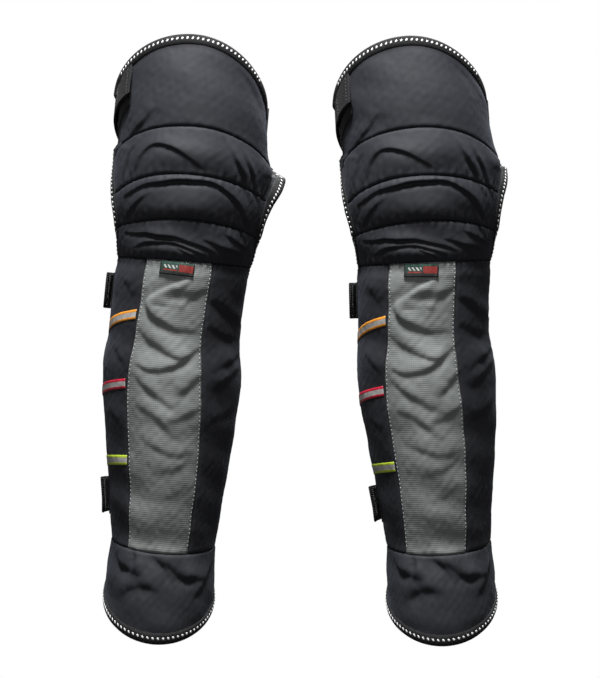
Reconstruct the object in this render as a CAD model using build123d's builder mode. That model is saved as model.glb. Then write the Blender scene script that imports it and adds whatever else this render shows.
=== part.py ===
"""A pair of padded leg guards, worn over the trousers from mid-thigh to instep.

Each guard is a padded sleeve that wraps the front of the leg and is open behind, where three
hook-and-loop straps close it. The sleeve is sewn from panels: a thigh panel, three gathered knee
panels, three shin panels side by side and a cuff over the instep. Under the panels lie a wadding
and a plush lining, and behind the knee panels a foam cup sits in a pocket.

Frame: millimetres, +Z up the leg, +X to the wearer's left, -Y to the front. The origin is the
middle of the right guard's knee, on the axis about which its thigh half bends.
Both guards are one shape. It is modelled once about its own knee and then placed twice.
"""

import math
import os

from build123d import *

# --- driving dimensions -------------------------------------------------------------------------

PAIR_PITCH = 249.5  # knee to knee
LEFT_DROP = 1.0  # the left guard hangs this much lower
LEAN = {"right": 4.6, "left": -2.6}  # turn about +Y that each guard hangs with, degrees

SKIN = 1.5  # outer fabric
WADDING = 5.3
LINING = 1.8
PLY_GAP = 0.2  # between two layers
BODY_GAP = 0.6  # between the thigh half and the shin half at the knee axis

BINDING_WIDTH = 3.0  # how far the edge binding stands beyond the edge
BINDING_PROUD = 0.7  # how far it stands above the fabric

STRAP_WIDTH = 38.0
STRAP_THICK = 2.6
HOOK_THICK = 1.4
LOOP_THICK = 1.4
HOOK_LOOP_GAP = 0.5
HOOK_LENGTH_DEG = 24.0  # how much of the sleeve's round the hook tape covers
SEWN_LIFT = 1.0  # from the sleeve's outer face to the strap, where the strap is sewn on
CLOSED_LIFT = 2 * PLY_GAP + LOOP_THICK + HOOK_LOOP_GAP + HOOK_THICK  # the same over the loop patch

TAPE_WIDTH = 10.5
TAPE_THICK = 0.5
LABEL_HEIGHT = 11.5
LABEL_THICK = 0.9

CUP_RADIUS = 63.5  # outer radius of the knee cup, about the knee's middle
CUP_THICK = 8.0
POCKET_THICK = 1.2
CUP_HALF_WIDTH = 42.0
CUP_BELOW, CUP_ABOVE = 40.0, 34.0
CUP_CORNER = 18.0
POCKET_BORDER = 3.0  # how far the pocket reaches beyond the cup

TOTAL = SKIN + WADDING + LINING + 2 * PLY_GAP  # the whole sleeve's thickness


class Ring:
    """One cross-section of the sleeve's outer face: an ellipse in a plane that tips back by tilt.

    Angles round the leg run from 0 at the front to 180 behind, positive towards +X.
    """

    def __init__(self, centre, half_width, depth, wrap):
        self.centre = centre
        self.half_width = half_width
        self.depth = depth  # from the centre to the front of the outer face
        self.wrap = wrap  # the angle at which the sleeve ends, each side

    @property
    def normal(self):
        return self.depth.cross(Vector(1, 0, 0)).normalized()

    @property
    def plane(self):
        return Plane(self.centre, x_dir=(1, 0, 0), z_dir=self.normal)

    def point(self, angle, offset=0.0):
        """A point at an angle round the leg, offset mm outside the outer face."""
        turn = math.radians(angle)
        across = Vector(1, 0, 0) * ((self.half_width + offset) * math.sin(turn))
        forward = self.depth.normalized() * ((self.depth.length + offset) * math.cos(turn))
        return self.centre + across + forward

    def shifted(self, distance):
        """The same ring, moved along its normal."""
        centre = self.centre + self.normal * distance
        return Ring(centre, self.half_width, self.depth, self.wrap)


def ring(z, x, y, half_width, half_depth, tilt, wrap):
    angle = math.radians(tilt)
    depth = Vector(0, -half_depth * math.cos(angle), half_depth * math.sin(angle))
    return Ring(Vector(x, y, z), half_width, depth, wrap)


# The sleeve from the top edge down to the hem. Both seams of a panel are rings.
THIGH_TOP = ring(136, -8, 31, 79, 91, 47, 108)
THIGH_SEAM = ring(72, -1, 12, 81.5, 84, 27, 97)
KNEE_TOP = ring(33, 0, 3, 81, 80, 18, 81)
KNEE_AXIS = ring(0, 0.5, 0, 75.5, 75, 10, 79)
KNEE_BOTTOM = ring(-34, -1, 0, 69.5, 71.5, 0, 98)
BELOW_KNEE = ring(-62, -3, 0, 68.5, 71, 0, 122)
UPPER_CALF = ring(-110, -5, 2, 67.5, 71, 0, 128)
CALF = ring(-160, -4, 3, 71.5, 73, 0, 130)
LOWER_CALF = ring(-230, -1.5, 1, 64.5, 67, 0, 132)
ANKLE = ring(-290, 0, -2, 57, 59, -5, 136)
CUFF_SEAM = ring(-329, 1, -3, 55, 57, -12, 138)
HEM = ring(-390, 1, -8, 58, 78, -33, 140)

THIGH_RINGS = [THIGH_TOP, THIGH_SEAM, KNEE_TOP, KNEE_AXIS]
KNEE_FLOOR = KNEE_AXIS.shifted(-BODY_GAP)  # where the shin half begins
SHIN_PANEL_RINGS = [KNEE_BOTTOM, BELOW_KNEE, UPPER_CALF, CALF, LOWER_CALF, ANKLE, CUFF_SEAM]
SHIN_RINGS = [KNEE_FLOOR, *SHIN_PANEL_RINGS, HEM]

# The grey wear panel's two seams, as angles round the leg at the top and at the cuff.
WEAR_TOP, WEAR_BOTTOM = (-34.0, 26.0), (-42.0, 32.0)
SEAM_GAP_DEG = 0.3


def between(upper, lower, share):
    """The ring that the straight wall between two rings passes through."""
    def mix(a, b):
        return a * (1 - share) + b * share

    centre = mix(upper.centre, lower.centre)
    depth = mix(upper.depth, lower.depth)
    half_width = mix(upper.half_width, lower.half_width)
    return Ring(centre, half_width, depth, mix(upper.wrap, lower.wrap))


def ring_at(z):
    """The ring of the shin at a height."""
    for upper, lower in zip(SHIN_RINGS, SHIN_RINGS[1:]):
        if lower.centre.Z <= z <= upper.centre.Z:
            share = (upper.centre.Z - z) / (upper.centre.Z - lower.centre.Z)
            return between(upper, lower, share)
    raise ValueError(f"no shin ring at {z}")


def rings_between(high, low):
    """The shin's rings from one height down to another, both ends included."""
    inside = [r for r in SHIN_RINGS if low < r.centre.Z < high]
    return [ring_at(high), *inside, ring_at(low)]


def band(rings, start, end, inner, outer):
    """Add a curved wall through the rings, from angle start to end, between two offsets.

    start and end are angles, or functions of a ring that give one. Call it inside BuildPart.
    """
    sections = []
    for one in rings:
        first = start(one) if callable(start) else start
        last = end(one) if callable(end) else end
        with BuildSketch(one.plane) as section:
            with BuildLine():
                faces = [
                    EllipticalCenterArc(
                        (0, 0),
                        one.half_width + offset,
                        one.depth.length + offset,
                        first - 90,
                        arc_size=last - first,
                    )
                    for offset in (inner, outer)
                ]
                Line(faces[0] @ 0, faces[1] @ 0)
                Line(faces[0] @ 1, faces[1] @ 1)
            make_face()
        sections.append(section.sketch)
    loft(sections, ruled=True)


def left_edge(one):
    return -one.wrap


def right_edge(one):
    return one.wrap


def wear_seam(side):
    """The angle of a wear panel seam at a ring, side 0 at -X and 1 at +X."""
    top, bottom = KNEE_BOTTOM.centre.Z, CUFF_SEAM.centre.Z

    def angle(one):
        share = (top - one.centre.Z) / (top - bottom)
        return WEAR_TOP[side] * (1 - share) + WEAR_BOTTOM[side] * share

    return angle


pieces = {}  # name of a piece: its part, about its own guard's knee

# --- outer panels -------------------------------------------------------------------------------

PANELS = {
    "thigh_panel": [THIGH_TOP, THIGH_SEAM],
    "knee_panel_upper": [THIGH_SEAM, KNEE_TOP],
    "knee_panel_middle": [KNEE_TOP, KNEE_AXIS],
    "knee_panel_lower": [KNEE_FLOOR, KNEE_BOTTOM],
    "cuff_panel": [CUFF_SEAM, HEM],
}
for panel_name, panel_rings in PANELS.items():
    with BuildPart() as panel:
        band(panel_rings, left_edge, right_edge, -SKIN, 0)
    pieces[panel_name] = panel.part

with BuildPart() as shin_panel_outer:
    band(SHIN_PANEL_RINGS, left_edge, lambda r: wear_seam(0)(r) - SEAM_GAP_DEG, -SKIN, 0)
pieces["shin_panel_outer"] = shin_panel_outer.part

with BuildPart() as shin_wear_panel:
    band(SHIN_PANEL_RINGS, wear_seam(0), wear_seam(1), -SKIN, 0)
pieces["shin_wear_panel"] = shin_wear_panel.part

with BuildPart() as shin_panel_inner:
    band(SHIN_PANEL_RINGS, lambda r: wear_seam(1)(r) + SEAM_GAP_DEG, right_edge, -SKIN, 0)
pieces["shin_panel_inner"] = shin_panel_inner.part

# --- wadding and lining -------------------------------------------------------------------------

WADDING_FACE = -SKIN - PLY_GAP
LINING_FACE = WADDING_FACE - WADDING - PLY_GAP
HALVES = {"thigh": THIGH_RINGS, "shin": SHIN_RINGS}
for half, half_rings in HALVES.items():
    with BuildPart() as wadding:
        band(half_rings, left_edge, right_edge, WADDING_FACE - WADDING, WADDING_FACE)
    pieces[f"{half}_wadding"] = wadding.part

    with BuildPart() as lining:
        band(half_rings, left_edge, right_edge, LINING_FACE - LINING, LINING_FACE)
    pieces[f"{half}_lining"] = lining.part

# --- edge binding -------------------------------------------------------------------------------

BINDING_DEG = 2.3  # BINDING_WIDTH as an angle round the leg
BINDING_GAP_DEG = 0.2
BINDING_INNER = -TOTAL - BINDING_PROUD


def side_bindings(rings):
    """The strips along both free edges."""
    band(
        rings,
        lambda r: -r.wrap - BINDING_GAP_DEG - BINDING_DEG,
        lambda r: -r.wrap - BINDING_GAP_DEG,
        BINDING_INNER,
        BINDING_PROUD,
    )
    band(
        rings,
        lambda r: r.wrap + BINDING_GAP_DEG,
        lambda r: r.wrap + BINDING_GAP_DEG + BINDING_DEG,
        BINDING_INNER,
        BINDING_PROUD,
    )


def end_binding(edge, direction):
    """The strip along the top edge or the hem, which runs over the ends of the side strips."""
    band(
        [edge.shifted(direction * PLY_GAP), edge.shifted(direction * (PLY_GAP + BINDING_WIDTH))],
        lambda r: -r.wrap - BINDING_GAP_DEG - BINDING_DEG,
        lambda r: r.wrap + BINDING_GAP_DEG + BINDING_DEG,
        BINDING_INNER,
        BINDING_PROUD,
    )


with BuildPart() as thigh_binding:
    side_bindings([THIGH_TOP.shifted(PLY_GAP), *THIGH_RINGS])
    end_binding(THIGH_TOP, 1)
pieces["thigh_binding"] = thigh_binding.part

with BuildPart() as shin_binding:
    side_bindings([*SHIN_RINGS, HEM.shifted(-PLY_GAP)])
    end_binding(HEM, -1)
pieces["shin_binding"] = shin_binding.part

# --- reflective tapes and label -----------------------------------------------------------------

TAPES = {  # height at the middle of the leg, and the slope from front to back, degrees
    "tape_orange": (-101.0, 17.0),
    "tape_red": (-170.0, 12.0),
    "tape_lime": (-243.0, 4.0),
}
SLAB = 300.0  # wider than the guard
TAPE_REACH = 45.0  # how far a sloping tape can leave its height


def tape_start(one):
    return -one.wrap + 1


def tape_end(one):
    return wear_seam(0)(one) - 1


for tape_name, (height, slope) in TAPES.items():
    with BuildPart() as tape:
        tape_rings = rings_between(height + TAPE_REACH, height - TAPE_REACH)
        band(tape_rings, tape_start, tape_end, PLY_GAP, PLY_GAP + TAPE_THICK)
        with Locations(Location((0, 0, height), (-slope, 0, 0))):
            Box(SLAB, SLAB, TAPE_WIDTH, mode=Mode.INTERSECT)
    pieces[tape_name] = tape.part

LABEL_SPAN = (-20.5, 10.0)
LABEL_DROP = 1.5  # from the knee seam to the label
with BuildPart() as label:
    label_top = KNEE_BOTTOM.centre.Z - LABEL_DROP
    label_rings = [ring_at(label_top), ring_at(label_top - LABEL_HEIGHT)]
    band(label_rings, *LABEL_SPAN, PLY_GAP, PLY_GAP + LABEL_THICK)
pieces["label"] = label.part

# --- straps -------------------------------------------------------------------------------------

def strap_ring(sleeve_ring):
    """The ring of a strap's inner face: close to the sleeve at +X and over the loop patch at -X."""
    shift = (CLOSED_LIFT - SEWN_LIFT) / 2
    lift = (CLOSED_LIFT + SEWN_LIFT) / 2
    depth = sleeve_ring.depth.normalized() * (sleeve_ring.depth.length + lift)
    centre = sleeve_ring.centre - Vector(shift, 0, 0)
    return Ring(centre, sleeve_ring.half_width + lift, depth, sleeve_ring.wrap)


def patch_rings(height):
    """The shin's rings under a strap at a height."""
    return rings_between(height + STRAP_WIDTH / 2, height - STRAP_WIDTH / 2)


class Strap:
    """A strap's middle ring and its edge rings, and the angles round the back where it turns and
    where it ends. It turns about a line across it, on the +X side, and closes at -X."""

    def __init__(self, middle, edges, turn, free):
        self.middle = strap_ring(middle)
        self.edges = [strap_ring(one) for one in edges]
        self.turn = turn
        self.free = free


CALF_STRAP_Z, ANKLE_STRAP_Z = -70.0, -286.0
THIGH_STRAP = ring(121, -6.4, 27, 82.6, 88, 30, 0)
THIGH_EDGES = [THIGH_STRAP.shifted(STRAP_WIDTH / 2), THIGH_STRAP.shifted(-STRAP_WIDTH / 2)]
STRAPS = {  # with the angles round the back where each turns and where it ends
    "thigh": Strap(THIGH_STRAP, THIGH_EDGES, 132.0, 308.0),
    "calf": Strap(ring_at(CALF_STRAP_Z), patch_rings(CALF_STRAP_Z), 96.0, 268.0),
    "ankle": Strap(ring_at(ANKLE_STRAP_Z), patch_rings(ANKLE_STRAP_Z), 108.0, 268.0),
}
HOOK_MARGIN_DEG = 2.0
for strap_name, one in STRAPS.items():
    with BuildPart() as strap:
        band(one.edges, one.turn, one.free, 0, STRAP_THICK)
    pieces[f"{strap_name}_strap"] = strap.part

    hook_start, hook_end = one.free - HOOK_LENGTH_DEG, one.free - HOOK_MARGIN_DEG
    with BuildPart() as hook:
        band(one.edges, hook_start, hook_end, -PLY_GAP - HOOK_THICK, -PLY_GAP)
    pieces[f"{strap_name}_strap_hook"] = hook.part

# The thigh strap is longer than half a turn, so its sewn part is a piece of its own.
THIGH_STRAP_SEWN, THIGH_STRAP_GAP_DEG = 84.0, 1.8
with BuildPart() as thigh_strap_base:
    base_end = STRAPS["thigh"].turn - THIGH_STRAP_GAP_DEG
    band(STRAPS["thigh"].edges, THIGH_STRAP_SEWN, base_end, 0, STRAP_THICK)
pieces["thigh_strap_base"] = thigh_strap_base.part

LOOPS = {  # the rings under each loop patch, and the angles where it starts and ends
    "thigh": ([between(THIGH_TOP, THIGH_SEAM, 0.06), between(THIGH_TOP, THIGH_SEAM, 0.58)],
              -88.0, -52.0),
    "calf": (patch_rings(CALF_STRAP_Z), -112.0, -88.0),
    "ankle": (patch_rings(ANKLE_STRAP_Z), -122.0, -88.0),
}
for loop_name, (edges, start, end) in LOOPS.items():
    with BuildPart() as loop:
        band(edges, start, end, PLY_GAP, PLY_GAP + LOOP_THICK)
    pieces[f"{loop_name}_loop_patch"] = loop.part

# --- knee cup and its pocket --------------------------------------------------------------------


def cup_shell(outer_radius, thickness, border):
    """A piece of a hollow ball about the knee's middle, cut to the cup's front window."""
    Sphere(outer_radius)
    Sphere(outer_radius - thickness, mode=Mode.SUBTRACT)
    height = CUP_ABOVE + CUP_BELOW + 2 * border
    middle = (CUP_ABOVE - CUP_BELOW) / 2
    with BuildSketch(Plane.XZ) as window:
        with Locations((0, middle)):
            RectangleRounded(2 * (CUP_HALF_WIDTH + border), height, CUP_CORNER)
    extrude(window.sketch, amount=CUP_RADIUS + border, mode=Mode.INTERSECT)


with BuildPart() as knee_cup:
    cup_shell(CUP_RADIUS, CUP_THICK, 0)
pieces["knee_cup"] = knee_cup.part

with BuildPart() as cup_pocket:
    cup_shell(CUP_RADIUS - CUP_THICK - PLY_GAP, POCKET_THICK, POCKET_BORDER)
pieces["cup_pocket"] = cup_pocket.part

# --- place the pair and write it ----------------------------------------------------------------

PLACES = {
    "right": Location((0, 0, 0), (0, LEAN["right"], 0)),
    "left": Location((PAIR_PITCH, 0, -LEFT_DROP), (0, LEAN["left"], 0)),
}

if __name__ == "__main__":
    os.makedirs("parts", exist_ok=True)
    for side, place in PLACES.items():
        for piece_name, piece in pieces.items():
            placed = piece.moved(place)
            placed.label = f"{side}_{piece_name}"
            export_step(placed, f"parts/{placed.label}.step")
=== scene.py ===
"""The looks of a pair of padded leg guards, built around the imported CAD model.

Every cloth piece of a guard is a thin closed shell laid over one curved form, the leg form, which
has the same rings as the CAD model with smooth curves between them. Folds, seams and gathers are
moves of that form's surface, so whatever lies on the cloth follows them. Lengths are millimetres
about a guard's own knee until place() turns them into metres in the model's frame.
"""

import math

import bmesh
import bpy
import numpy as np
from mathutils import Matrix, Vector


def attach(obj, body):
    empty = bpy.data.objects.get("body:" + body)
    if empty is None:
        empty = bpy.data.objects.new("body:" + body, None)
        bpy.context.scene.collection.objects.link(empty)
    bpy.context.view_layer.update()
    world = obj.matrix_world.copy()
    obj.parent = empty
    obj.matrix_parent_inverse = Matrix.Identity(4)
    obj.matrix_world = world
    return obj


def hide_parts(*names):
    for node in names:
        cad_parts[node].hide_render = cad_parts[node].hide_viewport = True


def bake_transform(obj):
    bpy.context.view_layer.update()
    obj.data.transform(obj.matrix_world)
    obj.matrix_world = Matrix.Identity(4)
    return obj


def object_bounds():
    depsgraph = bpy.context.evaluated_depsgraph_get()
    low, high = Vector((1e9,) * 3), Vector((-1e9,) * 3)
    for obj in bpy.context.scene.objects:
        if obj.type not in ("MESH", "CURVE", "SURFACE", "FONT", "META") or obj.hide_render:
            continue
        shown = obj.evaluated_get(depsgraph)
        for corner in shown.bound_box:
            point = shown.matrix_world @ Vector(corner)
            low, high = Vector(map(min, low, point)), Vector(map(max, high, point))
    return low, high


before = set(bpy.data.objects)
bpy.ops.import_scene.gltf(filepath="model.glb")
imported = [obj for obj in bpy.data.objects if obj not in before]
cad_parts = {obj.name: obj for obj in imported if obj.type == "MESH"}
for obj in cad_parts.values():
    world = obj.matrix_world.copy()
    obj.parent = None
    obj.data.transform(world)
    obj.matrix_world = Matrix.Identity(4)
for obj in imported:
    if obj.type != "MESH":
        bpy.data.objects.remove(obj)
CAD_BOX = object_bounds()

# --- the pair -----------------------------------------------------------------------------------

PAIR_PITCH = 249.5
LEFT_DROP = 1.0
LEAN = {"right": 4.6, "left": -2.6}  # degrees about +Y
SIDES = ("right", "left")
SHIFT = {"right": (0.0, 0.0), "left": (PAIR_PITCH, -LEFT_DROP)}  # mm along X and Z


def place(points, side):
    """Points about a guard's own knee, in mm, as points of the model's frame, in metres."""
    turn = math.radians(LEAN[side])
    x, y, z = np.moveaxis(points, -1, 0)
    across = x * math.cos(turn) + z * math.sin(turn) + SHIFT[side][0]
    up = z * math.cos(turn) - x * math.sin(turn) + SHIFT[side][1]
    return np.stack([across, y, up], axis=-1) / 1000


def turned(side, *directions):
    """Directions about a guard's own knee, as directions of the model's frame."""
    zero = place(np.zeros(3), side)
    return [place(v, side) - zero for v in directions]


def unit(v):
    return v / np.linalg.norm(v, axis=-1, keepdims=True)


def run_along(points):
    """Lengths from a line's start to each of its points."""
    return np.concatenate([[0], np.cumsum(np.linalg.norm(np.diff(points, axis=0), axis=1))])


def on_line(points, run, spots):
    """The points of a line at some lengths along it."""
    return np.stack([np.interp(spots, run, points[:, i]) for i in range(3)], axis=1)


def mesh_grid(rows, cols):
    return np.stack(np.meshgrid(rows, cols, indexing="ij"), axis=-1)


# --- the leg form -------------------------------------------------------------------------------

# From the top edge down to the hem. Columns: height, middle x, middle y, half width, half depth,
# tilt of the ring's plane and the angle at which the sleeve ends, each side.
RINGS = np.array([
    (136, -8, 31, 79, 91, 47, 108),  # 0 top edge
    (72, -1, 12, 81.5, 84, 27, 97),  # 1 thigh seam
    (33, 0, 3, 81, 80, 18, 81),  # 2 knee seam
    (0, 0.5, 0, 75.5, 75, 10, 79),  # 3 knee axis
    (-34, -1, 0, 69.5, 71.5, 0, 98),  # 4 seam below the knee
    (-62, -3, 0, 68.5, 71, 0, 122),
    (-110, -5, 2, 67.5, 71, 0, 128),
    (-160, -4, 3, 71.5, 73, 0, 130),
    (-230, -1.5, 1, 64.5, 67, 0, 132),
    (-290, 0, -2, 57, 59, -5, 136),
    (-329, 1, -3, 55, 57, -12, 138),  # 10 cuff seam
    (-390, 1, -8, 58, 78, -33, 140),  # 11 hem
], float)
TOP, THIGH_SEAM, KNEE_SEAM, KNEE_AXIS, LOW_SEAM, CUFF_SEAM, HEM = 0, 1, 2, 3, 4, 10, 11
ROUND = 73.0  # mean radius, for turning angles into lengths along the cloth
CORNER = 22.0  # rounding of the cloth's corners at the top and the hem
TOP_PACE, HEM_PACE = 64.0, 60.0  # mm along the cloth for each place, by the top and by the hem
WEAR_TOP, WEAR_BOTTOM = (-34.0, 26.0), (-42.0, 32.0)
SLOPES = np.gradient(RINGS, axis=0)


def on_curves(rows, slopes, spots):
    """Rows of numbers at spots between them, on cubic curves with the given slopes."""
    low = np.minimum(spots.astype(int), len(rows) - 2)
    f = (spots - low).reshape(spots.shape + (1,) * (rows.ndim - 1))
    square, cube = f * f, f * f * f
    return ((2 * cube - 3 * square + 1) * rows[low] + (cube - 2 * square + f) * slopes[low]
            + (3 * square - 2 * cube) * rows[low + 1] + (cube - square) * slopes[low + 1])


def ring_values(s):
    """The columns of RINGS at a place s along the form, smooth between the rings."""
    return on_curves(RINGS, SLOPES, np.clip(np.asarray(s, float), 0, len(RINGS) - 1))


def smooth(x):
    x = np.clip(x, 0, 1)
    return x * x * (3 - 2 * x)


def form(t, s):
    """Points of the plain form at angles t (degrees, 0 in front, + towards +X) and places s."""
    v = ring_values(s)
    turn, tilt = np.radians(t), np.radians(v[..., 5])
    x = v[..., 1] + v[..., 3] * np.sin(turn)
    y = v[..., 2] - v[..., 4] * np.cos(tilt) * np.cos(turn)
    z = v[..., 0] + v[..., 4] * np.sin(tilt) * np.cos(turn)
    return np.stack([x, y, z], axis=-1)


def form_normals(t, s):
    step_t, step_s = 0.5, 0.01
    inner = np.clip(s, step_s, len(RINGS) - 1 - step_s)
    across = form(t + step_t, inner) - form(t - step_t, inner)
    along = form(t, inner - step_s) - form(t, inner + step_s)
    return unit(np.cross(across, along))


HEIGHT_STEPS = 360


def place_of_height(t, z):
    """The place s where the form at angle t has height z."""
    t, z = np.broadcast_arrays(np.asarray(t, float), np.asarray(z, float))
    table = np.linspace(0, len(RINGS) - 1, HEIGHT_STEPS)
    flat_t, flat_z = t.reshape(-1, 1), z.reshape(-1)
    heights = form(*np.broadcast_arrays(flat_t, table[None, :]))[..., 2]
    above = np.clip((heights > flat_z[:, None]).sum(1), 1, HEIGHT_STEPS - 1)
    rows = np.arange(len(flat_z))
    upper, lower = heights[rows, above - 1], heights[rows, above]
    share = np.clip((upper - flat_z) / (upper - lower), 0, 1)
    return (table[above - 1] * (1 - share) + table[above] * share).reshape(t.shape)


def end_room(s):
    """Distance in mm from the top edge or the hem, whichever is nearer."""
    return np.minimum(np.asarray(s) * TOP_PACE, (HEM - np.asarray(s)) * HEM_PACE)


def edge_angle(s):
    """The angle of the free edge at s, with the corners at the top and the hem rounded off."""
    inside = np.clip((CORNER - end_room(s)) / CORNER, 0, 1)
    return ring_values(s)[..., 6] - np.degrees(CORNER * (1 - np.sqrt(1 - inside**2)) / ROUND)


def wear_angle(s, index):
    """The angle of the wear panel's seam at s: 0 is its -X side, 1 its +X side."""
    top, bottom = RINGS[LOW_SEAM, 0], RINGS[CUFF_SEAM, 0]
    share = np.clip((top - ring_values(s)[..., 0]) / (top - bottom), 0, 1)
    sway = 1.6 * np.sin(share * 9.0 + index * 1.3)
    return WEAR_TOP[index] * (1 - share) + WEAR_BOTTOM[index] * share + sway


def left_edge(s):
    return -edge_angle(s)


right_edge = edge_angle


def wear_left(s):
    return wear_angle(s, 0)


def wear_right(s):
    return wear_angle(s, 1)


def across_panel(s, t_from, t_to, spacing, fewest, extra=0):
    """Grids of t and s with rows at the places s, the columns spread from side to side."""
    width = np.radians(np.max(t_to(s) - t_from(s))) * ROUND
    cols = max(fewest, int(width / spacing) + extra)
    share = np.linspace(0, 1, cols)[None, :]
    t = t_from(s)[:, None] * (1 - share) + t_to(s)[:, None] * share
    return t, np.repeat(s[:, None], cols, axis=1)


def front_run(s_from, s_to):
    """Length in mm down the front of the form between two places."""
    line = form(np.zeros(24), np.linspace(s_from, s_to, 24))
    return np.linalg.norm(np.diff(line, axis=0), axis=1).sum()


# --- folds --------------------------------------------------------------------------------------

# Each fold is a line of (angle, height) points, then the height of its ridge, its half width, the
# depth of the valley on its lower side and how far the ridge leans over that valley. A fold that
# doesn't lean is a soft one, as steep on one side as on the other.
FOLDS = [
    # thigh panel
    ([(-30, 128), (-41, 112), (-56, 96)], 1.8, 4.5, 1.2, 0.3),
    ([(20, 192), (46, 171), (72, 137)], 0.9, 4.0, 0.6, 0.0),
    ([(-10, 140), (14, 133), (44, 112)], 0.5, 9.0, 0.3, 0.0),
    # upper knee panel
    ([(-50, 54), (-38, 76), (-26, 88), (-13, 86), (2, 74), (12, 62)], 2.2, 4.0, 1.5, 0.8),
    ([(24, 102), (36, 76), (46, 54), (52, 36)], 2.4, 3.0, 1.6, 0.6),
    ([(40, 92), (52, 66), (61, 44), (66, 30)], 2.0, 2.8, 1.4, 0.5),
    ([(-48, 86), (-58, 66), (-63, 46)], 1.2, 3.5, 0.8, 0.3),
    # middle knee panel: a deep arch under the seam
    ([(-62, 36), (-46, 42), (-31, 47), (-14, 52), (2, 54), (14, 52), (24, 47), (35, 38), (47, 25),
      (58, 14)], 3.0, 2.8, 2.8, 1.2),
    ([(-30, 40), (-48, 26), (-60, 10)], 1.0, 3.0, 0.6, 0.3),
    ([(38, 30), (50, 10), (60, -6)], 1.2, 3.0, 0.8, 0.4),
    # lower knee panel: lens-shaped creases
    ([(-62, -2), (-44, -4), (-26, -4), (-8, -5), (10, -12), (28, -22)], 2.2, 2.8, 2.0, 0.9),
    ([(-50, -22), (-30, -14), (-12, -12), (4, -17), (18, -27)], 1.6, 2.2, 1.5, 0.6),
    ([(-8, -16), (4, -24), (12, -31)], 1.0, 1.9, 0.8, 0.3),
    ([(14, -6), (36, -14), (60, -18)], 1.6, 2.6, 1.2, 0.5),
    ([(30, 4), (48, -4), (66, -10)], 1.2, 2.6, 0.9, 0.4),
    # grey panel
    ([(16, -50), (-3, -64), (-22, -80), (-17, -91), (0, -100), (24, -104)], 2.4, 4.4, 1.5, 0.0),
    ([(28, -58), (14, -66), (2, -82)], 1.6, 3.8, 1.0, 0.0),
    ([(-32, -104), (-18, -116), (2, -128), (20, -132)], 1.8, 4.4, 1.2, 0.0),
    ([(-31, -141), (-14, -146), (6, -138), (27, -116)], 1.9, 3.8, 1.3, 0.0),
    ([(-30, -152), (-18, -166), (-4, -178), (8, -184)], 1.5, 4.2, 1.0, 0.0),
    ([(27, -144), (16, -160), (2, -172)], 1.6, 4.0, 1.1, 0.0),
    ([(-30, -184), (-16, -190), (0, -204), (12, -218)], 1.2, 4.2, 0.8, 0.0),
    ([(28, -180), (14, -192), (-2, -198)], 1.1, 4.0, 0.8, 0.0),
    ([(-26, -214), (-8, -226), (10, -232), (28, -226)], 0.9, 4.6, 0.6, 0.0),
    ([(-18, -252), (6, -246), (28, -234)], 0.7, 5.0, 0.5, 0.0),
    ([(-14, -280), (10, -272), (30, -258)], 0.5, 5.4, 0.3, 0.0),
    # inner shin panel
    ([(26, -66), (42, -72), (58, -82), (84, -92)], 2.2, 5.0, 1.4, 0.0),
    ([(30, -96), (48, -104), (72, -104)], 1.3, 4.4, 0.8, 0.0),
    ([(32, -146), (48, -135), (66, -126), (86, -118)], 2.0, 4.8, 1.2, 0.0),
    ([(32, -166), (46, -154), (62, -142), (80, -134)], 1.7, 4.6, 1.0, 0.0),
    ([(34, -196), (52, -186), (76, -170)], 1.1, 5.4, 0.7, 0.0),
    # outer shin panel
    ([(-60, -52), (-48, -60), (-38, -74)], 1.0, 4.2, 0.6, 0.0),
    ([(-62, -122), (-48, -134), (-38, -148)], 1.0, 4.2, 0.6, 0.0),
    ([(-64, -190), (-50, -200), (-42, -214)], 0.8, 4.6, 0.5, 0.0),
    # cuff
    ([(-60, -338), (-42, -354), (-16, -360)], 2.6, 5.0, 1.8, 0.0),
    ([(-50, -386), (-22, -370), (4, -374)], 2.2, 5.6, 1.6, 0.0),
    ([(6, -342), (28, -360), (58, -358)], 2.8, 5.0, 2.0, 0.0),
    ([(-14, -334), (8, -350), (18, -370)], 2.0, 4.6, 1.4, 0.0),
    ([(34, -384), (50, -368), (68, -340)], 2.2, 5.0, 1.5, 0.0),
    ([(-30, -336), (-24, -350), (-30, -368)], 1.6, 4.0, 1.2, 0.0),
]
# Dents and swellings: angle, height, depth (+ out), half size across and up.
SWELLS = [
    (-4, 24, 3.4, 30, 13),
    (2, 80, 2.0, 34, 14),
    (0, -72, -2.6, 16, 7),
    (0, -22, 1.5, 40, 6),
    (-5, 150, 1.5, 50, 30),
    (0, -240, 1.2, 25, 45),
]
RIDGE_POINTS = 28


def smooth_line(points):
    """A Catmull-Rom line through points of (angle, height), as lengths along the cloth."""
    p = np.array(points, float)
    p[:, 0] = np.radians(p[:, 0]) * ROUND
    p = np.vstack([2 * p[0] - p[1], p, 2 * p[-1] - p[-2]])
    line = []
    for i in range(1, len(p) - 2):
        a, b, c, d = p[i - 1 : i + 3]
        for f in np.linspace(0, 1, RIDGE_POINTS // (len(p) - 3) + 2, endpoint=False):
            line.append(0.5 * (2 * b + (c - a) * f + (2 * a - 5 * b + 4 * c - d) * f**2
                               + (3 * b - a - 3 * c + d) * f**3))
    line.append(p[-2])
    return np.array(line)


FOLD_LINES = [smooth_line(fold[0]) for fold in FOLDS]


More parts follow.
